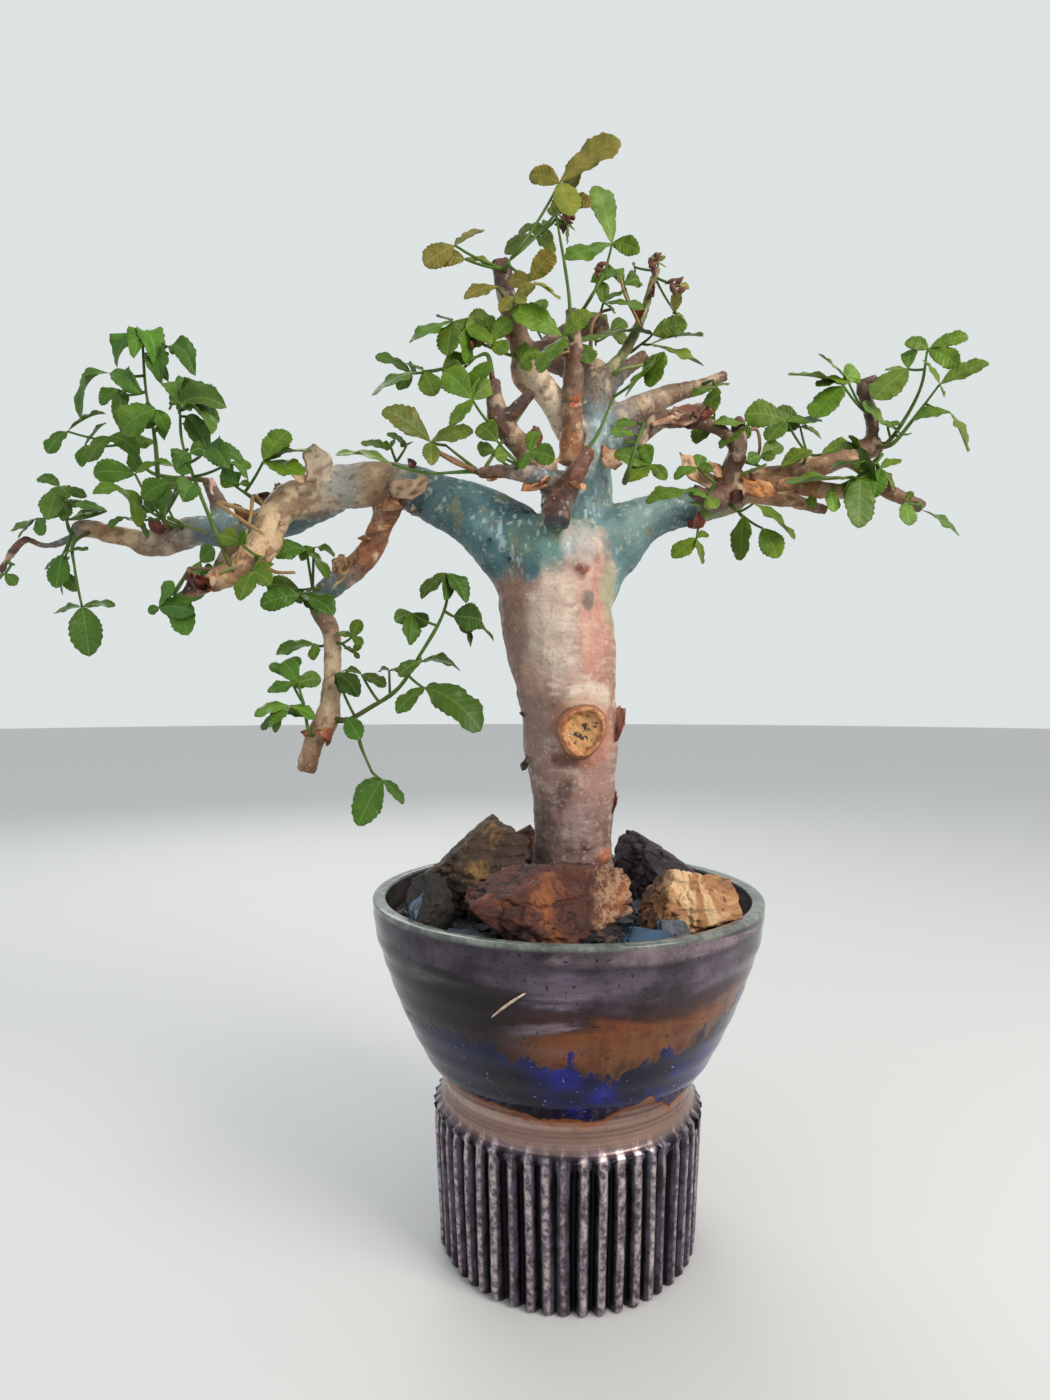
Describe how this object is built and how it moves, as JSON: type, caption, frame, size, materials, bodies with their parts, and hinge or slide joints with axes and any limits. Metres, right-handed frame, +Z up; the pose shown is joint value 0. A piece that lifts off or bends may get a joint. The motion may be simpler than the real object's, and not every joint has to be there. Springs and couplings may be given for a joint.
{
  "type": "potted bonsai tree",
  "caption": "Bonsai tree with a thick trunk, spreading boughs and three-part leaves, planted among rocks in a glazed pot with a ribbed foot, to stand on a table",
  "frame": {"origin": "centre of the pot's flat underside, on the surface that it stands on", "axes": "+Z up along the trunk, -Y towards the front where the cut branch stub faces, +X towards the shorter bough, so that the long bough with the hanging branch is on the -X side"},
  "size_m": [0.5376, 0.2, 0.5471],
  "materials": {
    "stoneware": "thrown stoneware: plum and rust glaze with running cobalt drips on the bowl, metallic bronze glaze on the neck and the ribs, grey-green glaze on the lip",
    "planting_mix": "dark gritty mix of slate gravel and earth, matt",
    "bark": "smooth blue-green skin above, pinkish tan bark below, with papery tan peelings, pale specks and rough cut ends",
    "rock": "broken ironstone, rust brown to ochre, rough",
    "slate": "split slate, blue grey, faint sheen",
    "leaf": "living leaves, toothed, satin green with paler veins, some bronze"
  },
  "bodies": {
    "root": {"pot": "stoneware", "soil": "planting_mix", "tree": "bark", "rock_front_rust": "rock", "rock_left_tall": "rock", "rock_left_dark": "rock", "rock_right_ochre": "rock", "rock_right_grey": "rock", "rock_back_red": "rock", "slate_left_blue": "slate", "slate_right_dark": "slate", "crown_snag_leaves": "leaf", "crown_left_upper": "leaf", "crown_left_middle": "leaf", "crown_left_lower": "leaf", "shoulder_olive_leaf": "leaf", "shoulder_long_leaf": "leaf", "bough_bud_leaves": "leaf", "crown_middle_leaves": "leaf", "crown_light_leaf": "leaf", "crown_upper_right": "leaf", "crown_curled_leaf": "leaf", "crown_inner_right": "leaf", "crown_olive_right": "leaf", "crown_drooping_right": "leaf", "crown_tip_leaves_right": "leaf", "crown_back_leaves": "leaf", "crown_back_right_leaves": "leaf", "right_fan_leaf": "leaf", "right_shoot_low": "leaf", "right_inner_leaves": "leaf", "right_hanging_leaves": "leaf", "right_tip_leaves": "leaf", "left_tall_shoot": "leaf", "left_front_shoot": "leaf", "left_middle_leaves": "leaf", "left_inner_leaves": "leaf", "left_hanging_leaf": "leaf", "left_far_leaf": "leaf", "left_under_leaves": "leaf", "hanging_small_fan": "leaf", "hanging_left_upper": "leaf", "hanging_bottom_leaf": "leaf", "crown_snag_leaves_top": "leaf", "crown_central_shoot": "leaf", "crown_right_shoot_tips": "leaf", "crown_front_leaves": "leaf", "crown_lower_right_leaves": "leaf", "right_upper_leaves": "leaf", "right_near_leaves": "leaf", "right_droop_leaves": "leaf", "right_end_leaves": "leaf", "right_shoot_tall": "leaf", "left_end_shoot": "leaf", "left_fork_leaves": "leaf", "left_round_leaves": "leaf", "hanging_top_leaves": "leaf", "hanging_left_fan": "leaf", "hanging_green_shoot": "leaf"}
  },
  "joints": []
}
